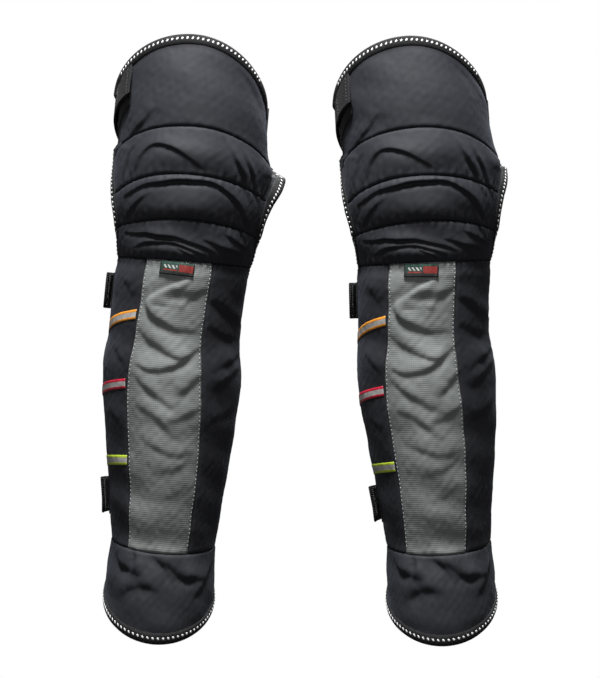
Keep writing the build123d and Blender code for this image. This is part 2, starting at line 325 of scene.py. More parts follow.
def line_distance(points, line):
    """Signed distance to a line (+ on its lower side), and how far along it, 0 to 1."""
    best = np.full(len(points), 1e9)
    signed, share = np.zeros(len(points)), np.zeros(len(points))
    lengths = np.linalg.norm(np.diff(line, axis=0), axis=1)
    starts = np.concatenate([[0], np.cumsum(lengths)])
    flip = 1.0 if line[-1, 0] >= line[0, 0] else -1.0
    for i in range(len(line) - 1):
        step = line[i + 1] - line[i]
        rel = points - line[i]
        f = np.clip(rel @ step / (step @ step), 0, 1)
        gap = rel - f[:, None] * step
        dist = np.hypot(gap[:, 0], gap[:, 1])
        closer = dist < best
        side = np.sign(rel[:, 0] * step[1] - rel[:, 1] * step[0]) * flip
        best = np.where(closer, dist, best)
        signed = np.where(closer, dist * side, signed)
        share = np.where(closer, (starts[i] + f * lengths[i]) / starts[-1], share)
    return signed, share


RANDOM = np.random.default_rng(7)
def draw_waves(count, slow, fast):
    return [(RANDOM.uniform(0, math.tau), RANDOM.uniform(slow, fast), RANDOM.uniform(0, math.tau))
            for _ in range(count)]


# The cloth's waviness: waves, their height in mm, and how much of their run goes across the leg.
WAVES = [(draw_waves(14, 0.07, 0.22), 0.17, 0.55), (draw_waves(18, 0.35, 0.9), 0.025, 1.0)]


def unevenness(a, z, side):
    """A soft seeded waviness of the cloth, in mm."""
    shift = 0.0 if side == "right" else 5.0
    total = np.zeros_like(a)
    for waves, height, share in WAVES:
        for direction, rate, phase in waves:
            stretch = share * math.cos(direction) * a + math.sin(direction) * z
            total += height * np.sin(rate * stretch + phase + shift)
    return total


PUFF = {0: 1.4, 1: 2.6, 2: 2.8, 3: 2.2, 10: 1.8}  # how far each panel swells between its seams
SEAM_ROWS = (THIGH_SEAM, KNEE_SEAM, KNEE_AXIS, LOW_SEAM, CUFF_SEAM)
SEAM_DEPTH, SEAM_WIDTH = 1.1, 2.0
SEAM_ROLL, ROLL_WIDTH = 1.3, 0.7  # each panel's edge is turned in where it is sewn
HELD_REACH = 13.0  # folds and seams flatten within this reach of the bound edges
RIPPLE_ROWS = (KNEE_SEAM, KNEE_AXIS, LOW_SEAM)
# A fold's flanks in half widths: above its ridge, below a leaning ridge and below a soft one.
GENTLE, STEEP, SOFT = 2.2, 0.45, 1.1
# How far the cloth has slid down at some heights: in front, and more at its -X and +X sides.
MIDDLE_HEIGHTS = (-36, 0, 13, 33, 58, 85, 110, 140)
SLIDE_MIDDLE = (0, 3.5, 3.3, 2.0, 0.3, 1.0, 2.4, 0)
SLIDE_HEIGHTS = (-36, 0, 33, 72, 112, 150, 190)
SLIDE_LEFT = (0, 2.0, 7.0, 0.5, 0, 0, 0)
SLIDE_RIGHT = (0, 4.0, 1.0, 5.0, 2.0, 4.0, 5.0)
# Where the straps press the padding in: angles, heights and depth.
PRESSED = [
    (-130, -54, 84, 134, 1.4),
    (-130, -72, 84, 134, 1.6),
    (84, 140, 70, 130, 4.6),
    (84, 140, -92, -48, 2.6),
    (92, 140, -308, -264, 2.4),
]


def edge_room(t, s):
    """Distance in mm from the nearest free edge of the sleeve."""
    side_gap = np.radians(np.clip(edge_angle(s) - np.abs(t), 0, None)) * ROUND
    return np.minimum(side_gap, end_room(s))


CORNER_TURN = {"right": 13.5, "left": 5.5}  # how far the knee opening's corner turns out
CORNER_Z = 68.0  # its height
TOP_FLARE = 2.2


def edge_flare(t, s, z, side):
    """How far the free edges stand off the leg at the knee, and turn out all round."""
    wrap = ring_values(s)[..., 6]
    corner = np.where(z > CORNER_Z, (CORNER_Z + 28 - z) / 28, (z - CORNER_Z + 56) / 56)
    corner = np.clip(corner, 0, 1)
    profile = 0.5 * smooth(corner) + 0.5 * corner**2
    turned_right = np.clip((t - wrap + 10) / 10, 0, 1) ** 1.2
    turned_left = np.clip((-t - wrap + 11) / 11, 0, 1) ** 1.4
    above = smooth((z - CORNER_Z + 6) / 18)
    turn = CORNER_TURN[side] * (1 - 0.65 * above)
    flare = profile * ((2.0 + 5.0 * above) * smooth((t - 50) / 36) + turn * turned_right)
    knee = smooth((z + 16) / 24) * smooth((92 - z) / 14)
    flare += knee * (3.4 * turned_right * smooth((z + 16) / 30) + 2.4 * turned_left)
    return flare + TOP_FLARE * smooth((9.0 - s * TOP_PACE) / 9.0)


def folded(a, z):
    """How far the folds move the cloth outwards and down."""
    points = np.stack([a, z], axis=1)
    out, down = np.zeros_like(a), np.zeros_like(a)
    wandering = points + np.stack(
        [1.2 * np.sin(0.085 * z + 1.0) + 0.4 * np.sin(0.21 * z + 4.0),
         1.0 * np.sin(0.07 * a + 2.0) + 0.4 * np.sin(0.19 * a + 0.5)], axis=1)
    for index, ((_, ridge, width, valley, lean), line) in enumerate(zip(FOLDS, FOLD_LINES)):
        reach = 7 * width
        near = np.all((points > line.min(0) - reach) & (points < line.max(0) + reach), axis=1)
        if not near.any():
            continue
        d, along = line_distance(wandering[near], line)
        fade = np.sin(math.pi * np.clip(along, 0, 1)) ** 0.8
        fade *= 0.82 + 0.18 * np.sin(along * 13.0 + index * 2.1)
        end = np.exp(-np.clip(np.abs(d) - 5.0 * width, 0, None) ** 2 / (2 * width**2))
        steep = STEEP if lean > 0 else SOFT
        bump = np.exp(-((d / np.where(d > 0, steep * width, GENTLE * width)) ** 2))
        past = d - (0.5 + steep) * width
        hollow = np.exp(-((past / np.where(past > 0, 1.5 * width, 0.5 * width)) ** 2))
        out[near] += fade * end * (ridge * bump - valley * hollow)
        down[near] += fade * lean * bump
    return out, down


def sewn(t, s, a, z, held):
    """How far the panels swell between their seams, and sink and ripple along them."""
    out = np.zeros_like(a)
    row = np.clip(s.astype(int), 0, len(RINGS) - 2)
    calm = 1 - smooth((np.abs(t) - 25) / 40)
    for first, height in PUFF.items():
        swell = height * (0.25 + 0.75 * calm) * held
        out += np.where(row == first, swell * np.sin(np.pi * np.clip(s - row, 0, 1)) ** 0.7, 0)
    shin = (s > LOW_SEAM) & (s < CUFF_SEAM)
    out += np.where(shin, 1.8 * smooth(np.minimum(s - LOW_SEAM, CUFF_SEAM - s) / 0.6), 0)
    for seam in SEAM_ROWS:
        gap = np.abs(z - form(t, np.full_like(s, seam))[:, 2])
        out -= held * SEAM_DEPTH * (0.5 + 0.5 * calm) * np.exp(-((gap / SEAM_WIDTH) ** 2))
        out -= (0.3 + 0.7 * held) * SEAM_ROLL * np.exp(-((gap / ROLL_WIDTH) ** 2))
        if seam in RIPPLE_ROWS:
            ripple = np.sin(a * 0.62 + seam) + 0.6 * np.sin(a * 0.97 + 2.0 * seam)
            out += 0.35 * held * ripple * np.exp(-((gap / 9.0) ** 2))
    for index in (0, 1):
        gap = np.abs(t - wear_angle(s, index)) * math.radians(1) * ROUND
        out -= np.where(shin, 1.3 * np.exp(-((gap / 2.0) ** 2)), 0)
    return out


def moves(t, s, side):
    """How far folds and seams move the cloth outwards and up, and how far it has slid down."""
    shape, t, s = t.shape, t.ravel(), s.ravel()
    a, z = np.radians(t) * ROUND, form(t, s)[:, 2]
    held = smooth(edge_room(t, s) / HELD_REACH)
    out, down = folded(a, z)
    out += unevenness(a, z, side)
    for angle, height, depth, half_a, half_z in SWELLS:
        off = ((a - math.radians(angle) * ROUND) / half_a) ** 2 + ((z - height) / half_z) ** 2
        out += depth * np.exp(-off)
    out = out * held + sewn(t, s, a, z, held) + edge_flare(t, s, z, side)
    for t_from, t_to, z_low, z_high, depth in PRESSED:
        across = smooth((t - t_from) / 8 + 0.5) * smooth((t_to - t) / 8 + 0.5)
        up = smooth((z - z_low) / 7 + 0.5) * smooth((z_high - z) / 7 + 0.5)
        out -= depth * across * up
    slide = np.interp(z, MIDDLE_HEIGHTS, SLIDE_MIDDLE)
    slide += np.interp(z, SLIDE_HEIGHTS, SLIDE_LEFT) * smooth(-t / 75)
    slide += np.interp(z, SLIDE_HEIGHTS, SLIDE_RIGHT) * smooth(t / 75)
    return out.reshape(shape), (-down * held).reshape(shape), slide.reshape(shape)


# --- cloth simulation ---------------------------------------------------------------------------

# The outer panels: name, places of the seams, the two sides, how far the simulated cloth grows
# beyond the space between its seams, the body, the flat size and cut area in m, how it is held.
PANELS = [
    ("thigh_panel", TOP, THIGH_SEAM, left_edge, right_edge, 0.020, "thigh",
     (0.30, 0.12), 0.025, "stretched"),
    ("knee_panel_upper", THIGH_SEAM, KNEE_SEAM, left_edge, right_edge, 0.035, None,
     (0.28, 0.066), 0.0145, "gathered"),
    ("knee_panel_middle", KNEE_SEAM, KNEE_AXIS, left_edge, right_edge, 0.035, None,
     (0.23, 0.056), 0.0115, "gathered"),
    ("knee_panel_lower", KNEE_AXIS, LOW_SEAM, left_edge, right_edge, 0.050, None,
     (0.25, 0.055), 0.0112, "gathered"),
    ("shin_panel_outer", LOW_SEAM, CUFF_SEAM, left_edge, wear_left, 0.030, "shin",
     (0.12, 0.31), 0.034, "stretched"),
    ("shin_wear_panel", LOW_SEAM, CUFF_SEAM, wear_left, wear_right, 0.050, "shin",
     (0.09, 0.32), 0.026, "stretched"),
    ("shin_panel_inner", LOW_SEAM, CUFF_SEAM, wear_right, right_edge, 0.040, "shin",
     (0.13, 0.31), 0.036, "stretched"),
    ("cuff_panel", CUFF_SEAM, HEM, left_edge, right_edge, 0.040, "shin",
     (0.30, 0.10), 0.022, "stretched"),
]
MOST_GROWTH = 0.05
DRAPE_SPACING = 3.0
DRAPE_FRAMES = 20
DRAPE_PRESSURE = 1.0
DRAPE_CAP, DRAPE_SINK = 5.0, 1.6  # mm: the most a point moves, and the most it moves inwards
DRAPE_FINE = 3  # the simulated moves are refined this many times over
DRAPES = {}


def refine(grid, axis):
    """The grid with DRAPE_FINE times as many steps along an axis, on cubic curves."""
    grid = np.moveaxis(grid, axis, 0)
    spots = np.linspace(0, len(grid) - 1, (len(grid) - 1) * DRAPE_FINE + 1)
    return np.moveaxis(on_curves(grid, np.gradient(grid, axis=0), spots), 0, axis)


def drape_cloth(verts, faces, weights):
    """Simulate the cloth: where its points end up. weights are its vertex groups'."""
    mesh = bpy.data.meshes.new("drape")
    mesh.from_pydata(verts.tolist(), [], faces)
    cloth = bpy.data.objects.new("drape", mesh)
    bpy.context.scene.collection.objects.link(cloth)
    for name, values in weights.items():
        group = cloth.vertex_groups.new(name=name)
        for value in np.unique(values[values > 0]):
            group.add(np.flatnonzero(values == value).tolist(), float(value), "REPLACE")
    modifier = cloth.modifiers.new("drape", "CLOTH")
    settings = {
        "quality": 6, "mass": 0.15, "tension_stiffness": 15, "compression_stiffness": 15,
        "shear_stiffness": 8, "bending_stiffness": 0.6, "vertex_group_mass": "pins",
        "shrink_min": 0.0, "shrink_max": -MOST_GROWTH, "vertex_group_shrink": "growth",
        "use_pressure": True, "uniform_pressure_force": DRAPE_PRESSURE,
    }
    for key, value in settings.items():
        setattr(modifier.settings, key, value)
    modifier.settings.effector_weights.gravity = 0
    modifier.collision_settings.use_collision = False
    modifier.point_cache.frame_start, modifier.point_cache.frame_end = 1, DRAPE_FRAMES
    for number in range(1, DRAPE_FRAMES + 1):
        bpy.context.scene.frame_set(number)
    after = np.empty(len(verts) * 3, np.float32)
    evaluated = cloth.evaluated_get(bpy.context.evaluated_depsgraph_get())
    evaluated.data.vertices.foreach_get("co", after)
    bpy.data.objects.remove(cloth)
    bpy.context.scene.frame_set(1)
    return after.reshape(-1, 3)


def simulate():
    """Cloth simulation of every panel of both guards, sewn down all round its edge.

    The cloth is a little larger than the space between its seams, so it buckles as sewn cloth does.
    """
    spans, verts, faces, pins, growth, start = [], [], [], [], [], 0
    for side in SIDES:
        for name, s_from, s_to, t_from, t_to, grown, *_ in PANELS:
            rows = int(front_run(s_from, s_to) / DRAPE_SPACING) + 2
            line = np.linspace(s_from, s_to, rows)
            t, s = across_panel(line, t_from, t_to, DRAPE_SPACING, 2, 2)
            grid = np.arange(t.size).reshape(t.shape) + start
            quads = np.stack([grid[:-1, :-1], grid[1:, :-1], grid[1:, 1:], grid[:-1, 1:]], -1)
            faces += quads.reshape(-1, 4).tolist()
            rim = np.ones(t.shape)
            rim[1:-1, 1:-1] = 0.0
            verts.append(skin(t, s, side).reshape(-1, 3) / 1000)
            pins.append(rim.ravel())
            growth.append(np.full(t.size, grown / MOST_GROWTH))
            spans.append((side, name, t, s, start))
            start += t.size
    before = np.concatenate(verts)
    weights = {"pins": np.concatenate(pins), "growth": np.concatenate(growth)}
    moved = (drape_cloth(before, faces, weights) - before) * 1000
    for side, name, t, s, start in spans:
        move = moved[start : start + t.size].reshape(*t.shape, 3)
        length = np.linalg.norm(move, axis=-1, keepdims=True)
        move = move * DRAPE_CAP * np.tanh(length / DRAPE_CAP) / np.maximum(length, 1e-6)
        normals = form_normals(t, s)
        inwards = (move * normals).sum(-1, keepdims=True)
        move += normals * (np.maximum(inwards, -DRAPE_SINK) - inwards)
        DRAPES[side, name] = refine(refine(move, 0), 1)


def drape(t, s, side):
    """How far the simulation moved the cloth at angles t and places s, in mm."""
    flat_t, flat_s = t.ravel(), s.ravel()
    total = np.zeros((flat_t.size, 3))
    if not DRAPES:
        return total.reshape(*t.shape, 3)
    for name, s_from, s_to, t_from, t_to, *_ in PANELS:
        first, last = t_from(flat_s), t_to(flat_s)
        here = (flat_s >= s_from) & (flat_s <= s_to) & (flat_t >= first) & (flat_t <= last)
        if not here.any():
            continue
        grid = DRAPES[side, name]
        row = (flat_s[here] - s_from) / (s_to - s_from) * (grid.shape[0] - 1)
        col = (flat_t[here] - first[here]) / (last[here] - first[here]) * (grid.shape[1] - 1)
        i = np.clip(row.astype(int), 0, grid.shape[0] - 2)
        j = np.clip(col.astype(int), 0, grid.shape[1] - 2)
        f, g = (row - i)[:, None], (col - j)[:, None]
        total[here] = (
            (grid[i, j] * (1 - g) + grid[i, j + 1] * g) * (1 - f)
            + (grid[i + 1, j] * (1 - g) + grid[i + 1, j + 1] * g) * f
        )
    return total.reshape(*t.shape, 3)


PINCH_REACH, PINCH = 16.0, 0.45  # the padding thins out towards the bound edge


def skin(t, s, side, offset=0.0, follow=1.0):
    """Points of the cloth at angles t and places s, offset mm outside its outer face.

    follow is the share of the folds that this layer takes. Inner layers are pinched at the edges.
    """
    t, s = np.broadcast_arrays(np.asarray(t, float), np.asarray(s, float))
    offset = np.broadcast_to(np.asarray(offset, float), t.shape)
    out, move_z, slide = moves(t, s, side)
    if offset.size and offset.min() < -2:
        room = edge_room(t, s)
        offset = offset * (1 - PINCH * (1 - smooth(room / PINCH_REACH)))
    points = form(t, s) + form_normals(t, s) * (out * follow + offset)[..., None]
    points[..., 2] += move_z * follow - slide
    return points + follow * drape(t, s, side)


# --- meshes -------------------------------------------------------------------------------------

SKIN_BACK = -1.3
WADDING_FRONT, WADDING_BACK = -4.6, -6.9
LINING_FRONT, LINING_BACK = -7.15, -9.0
DEEP_FOLLOW = 0.3
WADDING_FOLLOW = 0.5


def new_object(name, verts, faces, uvs):
    mesh = bpy.data.meshes.new(name)
    mesh.from_pydata([tuple(v) for v in verts], [], faces)
    layer = mesh.uv_layers.new(name="cloth")
    corner_verts = np.empty(len(mesh.loops), np.int32)
    mesh.loops.foreach_get("vertex_index", corner_verts)
    layer.data.foreach_set("uv", np.asarray(uvs, np.float32)[corner_verts].ravel())
    mesh.polygons.foreach_set("use_smooth", [True] * len(mesh.polygons))
    mesh.validate()
    obj = bpy.data.objects.new(name, mesh)
    bpy.context.scene.collection.objects.link(obj)
    return obj


def shell(name, front, back, uv):
    """A closed shell from two grids of points, its front and its back."""
    rows, cols = front.shape[:2]
    count = rows * cols
    index = np.arange(count).reshape(rows, cols)
    a, b, c, d = index[:-1, :-1], index[:-1, 1:], index[1:, 1:], index[1:, :-1]
    faces = np.stack([a, d, c, b], -1).reshape(-1, 4).tolist()
    faces += (np.stack([a, b, c, d], -1).reshape(-1, 4) + count).tolist()
    rim = np.concatenate([index[0, :-1], index[:-1, -1], index[-1, :0:-1], index[:0:-1, 0]])
    nxt = np.roll(rim, -1)
    faces += np.stack([rim, nxt, nxt + count, rim + count], -1).tolist()
    verts = np.concatenate([front.reshape(-1, 3), back.reshape(-1, 3)])
    uvs = np.concatenate([uv.reshape(-1, 2)] * 2)
    return new_object(name, verts, faces, uvs)


def tube(name, loops, uv):
    """A closed solid from a row of loops of points, capped at both ends."""
    rows, cols = loops.shape[:2]
    index = np.arange(rows * cols).reshape(rows, cols)
    here, there = index[:-1], index[1:]
    quads = [here, np.roll(here, -1, 1), np.roll(there, -1, 1), there]
    faces = np.stack(quads, -1).reshape(-1, 4).tolist()
    faces += [index[0, ::-1].tolist(), index[-1].tolist()]
    return new_object(name, loops.reshape(-1, 3), faces, uv.reshape(-1, 2))


def fix_normals(obj):
    """Turn every face outwards."""
    work = bmesh.new()
    work.from_mesh(obj.data)
    bmesh.ops.recalc_face_normals(work, faces=work.faces)
    work.to_mesh(obj.data)
    work.free()


def cloth_grid(s_from, s_to, t_from, t_to, spacing):
    """Angles, places and lengths along the cloth of an even grid over a panel.

    t_from and t_to are functions of s.
    """
    run = front_run(s_from, s_to)
    s = np.linspace(s_from, s_to, max(6, int(run / spacing)))
    near_seam = np.array([0.35, 0.8, 1.4]) / run * (s_to - s_from)
    s = np.unique(np.concatenate([s, s_from + near_seam, s_to - near_seam]))
    t, s = across_panel(s, t_from, t_to, spacing, 8)
    return t, s, np.stack([np.radians(t) * ROUND, form(t, s)[..., 2]], axis=-1) / 1000


# --- materials ----------------------------------------------------------------------------------

CHANNEL, PILLOW = 33.0, 1.8  # height of the lining's quilted channels, and how far they swell


MATERIALS = {}


class Shader:
    """A material's node tree, with short ways to add nodes. u and v are the cloth's own."""

    def __init__(self, name, **sockets):
        self.material = MATERIALS[name] = bpy.data.materials.new(name)
        self.material.use_nodes = True
        self.tree = self.material.node_tree
        self.bsdf = self.tree.nodes["Principled BSDF"]
        for socket, value in sockets.items():
            self.feed(self.bsdf.inputs[socket.replace("_", " ")], value)
        source = self.add("UVMap")
        source.uv_map = "cloth"
        self.uv = source.outputs[0]
        self.u, self.v = self.add("SeparateXYZ", Vector=self.uv).outputs[:2]

    def feed(self, socket, value):
        """Give a socket a number, a colour or another node's output."""
        if isinstance(value, tuple):
            socket.default_value = (*value, 1)
        elif isinstance(value, (int, float)):
            socket.default_value = value
        else:
            self.tree.links.new(value, socket)

    def add(self, kind, **inputs):
        made = self.tree.nodes.new("ShaderNode" + kind)
        for key, value in inputs.items():
            self.feed(made.inputs[key], value)
        return made

    def math(self, operation, *values):
        made = self.add("Math")
        made.operation = operation
        for socket, value in zip(made.inputs, values):
            self.feed(socket, value)
        return made.outputs[0]

    def times(self, a, b):
        return self.math("MULTIPLY", a, b)

    def over(self, a, b):
        return self.math("GREATER_THAN", a, b)

    def within(self, value, middle, reach):
        gap = self.math("ABSOLUTE", self.math("SUBTRACT", value, middle))
        return self.math("LESS_THAN", gap, reach)

    def both(self, a, factor, b):
        """One height field times a factor, and another added to it."""
        return self.math("MULTIPLY_ADD", a, factor, b)

    def noise(self, scale, detail=2, roughness=0.5):
        made = self.add("TexNoise", Vector=self.uv, Scale=scale, Detail=detail, Roughness=roughness)
        return made.outputs[0]

    def waves(self, run, pitch):
        return self.math("SINE", self.times(run, math.tau / pitch))

    def weave(self, pitch, u=None, v=None):
        """A woven height field: threads of the given pitch that pass over and under."""
        return self.times(self.waves(u or self.u, pitch), self.waves(v or self.v, pitch))

    def twill(self, pitch):
        """A weave that runs at 45 degrees."""
        u, v = self.u, self.v
        return self.weave(pitch, self.math("ADD", u, v), self.math("SUBTRACT", u, v))

    def ramp(self, value, *stops):
        made = self.add("ValToRGB", Fac=value)
        for element, (position, colour) in zip(made.color_ramp.elements, stops):
            element.position = position
            element.color = (*colour, 1)
        return made.outputs[0]

    def mix(self, share, a, b):
        made = self.add("Mix")
        made.data_type = "RGBA"
        for index, value in ((0, share), (6, a), (7, b)):
            self.feed(made.inputs[index], value)
        return made.outputs[2]

    def done(self, colour, height, strength, depth):
        """Give the material this colour, and a bump of this depth in metres."""
        self.feed(self.bsdf.inputs["Base Color"], colour)
        bump = self.add("Bump", Height=height, Strength=strength, Distance=depth)
        self.feed(self.bsdf.inputs["Normal"], bump.outputs[0])


def softshell():
    m = Shader("softshell", Roughness=0.6, Sheen_Weight=0.05, Sheen_Roughness=0.4,
               Specular_IOR_Level=0.12, Sheen_Tint=(0.72, 0.78, 1.0))
    grain = m.noise(900, 2, 0.6)
    base = m.ramp(m.noise(34, 4, 0.6), (0.3, (0.023, 0.0235, 0.028)), (0.7, (0.035, 0.0355, 0.042)))
    colour = m.mix(m.times(grain, 0.35), base, (0.040, 0.041, 0.048))
    m.done(colour, m.both(grain, 0.8, m.times(m.twill(0.0016), 0.5)), 0.35, 0.0003)


def wear_fabric():
    m = Shader("wear_fabric", Roughness=0.34, Specular_IOR_Level=0.55, Sheen_Weight=0.04)
    dots, grain = m.twill(0.0042), m.noise(700, 3, 0.6)
    base = m.ramp(m.noise(28, 5, 0.6), (0.3, (0.200, 0.214, 0.208)), (0.72, (0.275, 0.292, 0.284)))
    # Painted shade: the sunken points of the embossed dots are coloured darker.
    dimple_shade = m.times(m.math("LESS_THAN", dots, -0.45), 0.22)
    m.done(m.mix(dimple_shade, base, (0.110, 0.118, 0.115)), m.both(grain, 0.3, dots), 0.25, 0.0003)


def plush_lining():
    m = Shader("plush_lining", Roughness=0.95, Sheen_Weight=0.2, Sheen_Roughness=0.6)
    pile, lay = m.noise(650, 4, 0.7), m.noise(45, 3, 0.5)
    base = m.ramp(lay, (0.35, (0.022, 0.023, 0.026)), (0.7, (0.040, 0.041, 0.046)))
    furry = m.mix(m.times(pile, 0.5), base, (0.060, 0.062, 0.068))
    # A dark line along each quilted row: its stitching, and painted shade in the groove the row
    # sinks into.
    row = m.within(m.waves(m.v, CHANNEL * 2 / 1000), 0.0, 0.10)
    m.done(m.mix(row, furry, (0.010, 0.010, 0.012)), m.both(lay, 1.5, pile), 0.8, 0.0008)


def wadding():
    m = Shader("wadding", Roughness=0.95, Sheen_Weight=0.3)
    tangle = m.noise(380, 6, 0.75)
    colour = m.ramp(tangle, (0.35, (0.50, 0.50, 0.48)), (0.65, (0.78, 0.78, 0.75)))
    m.done(colour, m.both(m.noise(60, 3, 0.6), 2.0, tangle), 0.8, 0.001)


def binding():
    m = Shader("binding", Roughness=0.6, Sheen_Weight=0.05, Specular_IOR_Level=0.25)
    worn = m.noise(120, 3, 0.6)
    colour = m.ramp(worn, (0.35, (0.006, 0.006, 0.007)), (0.75, (0.014, 0.014, 0.016)))
    m.done(colour, m.weave(0.0012), 0.5, 0.0004)


def tape(name, colour):
    """A reflective tape: u runs along it in metres, v across it from 0 to 1."""
    m = Shader(name, Roughness=0.42, Specular_IOR_Level=0.5)
    off_middle = m.math("ABSOLUTE", m.math("SUBTRACT", m.v, 0.5))
    border, edge = m.over(off_middle, 0.24), m.over(off_middle, 0.46)
    beads = m.noise(900, 2, 0.6)
    grey = m.ramp(beads, (0.3, (0.40, 0.39, 0.38)), (0.7, (0.60, 0.58, 0.56)))
    coloured = m.mix(edge, m.mix(border, grey, colour), tuple(c * 0.55 for c in colour))
    m.done(coloured, m.both(border, 0.8, beads), 0.3, 0.0002)


def label():
    """A woven label in blocks of colour: u and v run from 0 to 1 across and up."""
    m = Shader("label", Roughness=0.55, Specular_IOR_Level=0.3)
    threads = m.weave(0.0008, m.times(m.u, 0.037), m.times(m.v, 0.015))
    colour = m.mix(m.over(m.u, 0.56), (0.010, 0.040, 0.028), (0.24, 0.014, 0.009))
    slant = m.both(m.v, 0.9, m.times(m.u, 3.2))
    bar = m.over(m.math("FRACT", m.times(slant, 2.6)), 0.5)
    left = m.within(m.u, 0.31, 0.20)
    bars = m.times(m.times(bar, m.within(m.v, 0.62, 0.13)), left)
    layers = [
        (bars, (0.50, 0.52, 0.50)),
        (m.times(m.within(m.v, 0.36, 0.05), left), (0.30, 0.02, 0.012)),  # the line under them
        (m.over(m.v, 0.84), (0.012, 0.055, 0.038)),
        (m.math("LESS_THAN", m.v, 0.27), (0.022, 0.025, 0.024)),
        (m.over(m.math("ABSOLUTE", m.math("SUBTRACT", m.u, 0.5)), 0.47), (0.008, 0.009, 0.009)),
    ]
    for share, above in layers:
        colour = m.mix(share, colour, above)
    m.done(colour, threads, 0.5, 0.0002)


def strap_webbing():
    m = Shader("strap_webbing", Roughness=0.65, Sheen_Weight=0.05, Specular_IOR_Level=0.25)
    lint = m.noise(300, 4, 0.6)
    colour = m.ramp(lint, (0.35, (0.005, 0.005, 0.006)), (0.8, (0.011, 0.011, 0.013)))
    ribs = m.both(m.waves(m.u, 0.0018), 0.35, m.waves(m.v, 0.0026))
    m.done(colour, ribs, 0.6, 0.0005)


def hook_tape():
    m = Shader("hook_tape", Roughness=0.5, Specular_IOR_Level=0.5)
    rows = m.weave(0.0022)
    colour = m.ramp(rows, (0.3, (0.008, 0.008, 0.009)), (0.8, (0.030, 0.030, 0.033)))
    m.done(colour, m.both(m.noise(800, 2, 0.6), 0.6, rows), 1.0, 0.0009)


def loop_tape():
    m = Shader("loop_tape", Roughness=0.95, Sheen_Weight=0.1, Sheen_Roughness=0.4)
    fuzz, worn = m.noise(900, 5, 0.75), m.noise(90, 3, 0.6)
    base = m.ramp(worn, (0.3, (0.006, 0.006, 0.007)), (0.75, (0.013, 0.013, 0.015)))
    m.done(m.mix(m.times(fuzz, 0.4), base, (0.026, 0.026, 0.029)), fuzz, 1.0, 0.0009)


def pocket_mesh():
    m = Shader("pocket_mesh", Roughness=0.8, Sheen_Weight=0.4)
    holes = m.twill(0.0034)
    colour = m.mix(m.over(holes, 0.35), (0.060, 0.061, 0.068), (0.010, 0.010, 0.012))
    m.done(colour, holes, 0.7, 0.0006)


def speckled(name, spread, dark, pale, strength, depth, **sockets):
    """A material whose colour and height follow one noise of this scale, detail and roughness."""
    m = Shader(name, **sockets)
    grain = m.noise(*spread)
    m.done(m.ramp(grain, (0.3, dark), (0.7, pale)), grain, strength, depth)


def thread(name, colour):
    pale = tuple(c * 1.25 for c in colour)
    speckled(name, (1500, 2, 0.5), colour, pale, 0.3, 0.0001, Roughness=0.5, Sheen_Weight=0.2)


for make_material in (softshell, wear_fabric, plush_lining, wadding, binding, label, strap_webbing,
                      hook_tape, loop_tape, pocket_mesh):
    make_material()
speckled("binding_dots", (1400, 2, 0.5), (0.72, 0.73, 0.74), (0.93, 0.93, 0.92), 0.3, 0.0002,
         Roughness=0.45)
speckled("foam", (1200, 3, 0.7), (0.045, 0.046, 0.05), (0.075, 0.076, 0.082), 0.6, 0.0004,
         Roughness=0.85, Specular_IOR_Level=0.3)
tape("tape_orange", (0.90, 0.36, 0.04))
tape("tape_red", (0.62, 0.02, 0.05))
tape("tape_lime", (0.55, 0.70, 0.05))
thread("thread_pale", (0.42, 0.45, 0.44))
thread("thread_dark", (0.020, 0.020, 0.024))

# --- putting a piece on its body ----------------------------------------------------------------


def finish_piece(obj, side, material, node=None, body=None):
    """Turn a piece's faces outwards, give it its material, hide the CAD node it stands for and
    attach it to its body. With no body its placing is baked into its mesh.
    """
    fix_normals(obj)
    obj.data.materials.append(MATERIALS[material])
    if node:
        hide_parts(f"{side}_{node}")
    if body:
        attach(obj, f"{side}_{body}")
    else:
        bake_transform(obj)
    return obj


# --- cloth pieces -------------------------------------------------------------------------------

SEAM_GAP = 0.25  # degrees between the cloth of two panels
KNEE_GRID, SHIN_GRID, LINING_GRID, WADDING_GRID = 1.2, 1.5, 2.4, 3.0  # mm between a grid's points


def make_panel(side, name, s_from, s_to, t_from, t_to, _, body, flat, area, held):
    def start(s):
        return t_from(s) + (SEAM_GAP if t_from is wear_right else 0.0)

    def stop(s):
        return t_to(s) - (SEAM_GAP if t_to is wear_left else 0.0)

    spacing = KNEE_GRID if s_from < LOW_SEAM else SHIN_GRID
    t, s, uv = cloth_grid(s_from, s_to, start, stop, spacing)
    front, back = (place(skin(t, s, side, offset), side) for offset in (0.0, SKIN_BACK))
    obj = shell(f"{side}_{name}_cloth", front, back, uv)
    material = "wear_fabric" if t_from is wear_left else "softshell"
    finish_piece(obj, side, material, name, body)


def quilting(t, s):
    """How far the lining swells inwards between its rows of quilting, in mm."""
    heights = form(t, s)[..., 2]
    swell = np.abs(np.sin(math.pi * heights / CHANNEL)) ** 0.5
    return -PILLOW * swell * smooth(edge_room(t, s) / 14)


def make_layer(side, piece, span, front, back, follow, material, spacing, inset, relief):
    """A layer under the cloth: front and back are how far outside the cloth its faces lie."""
    def start(s):
        return -edge_angle(s) + inset

    def stop(s):
        return edge_angle(s) - inset

    t, s, uv = cloth_grid(*span, start, stop, spacing)
    outer = place(skin(t, s, side, front, follow), side)
    inner = place(skin(t, s, side, back + relief(t, s), DEEP_FOLLOW), side)
    obj = shell(f"{side}_{piece}", outer, inner, uv)
    return finish_piece(obj, side, material, piece.rsplit("_", 1)[0])


KNEE_SPLIT = 0.01  # in places: the gap between the two halves' layers


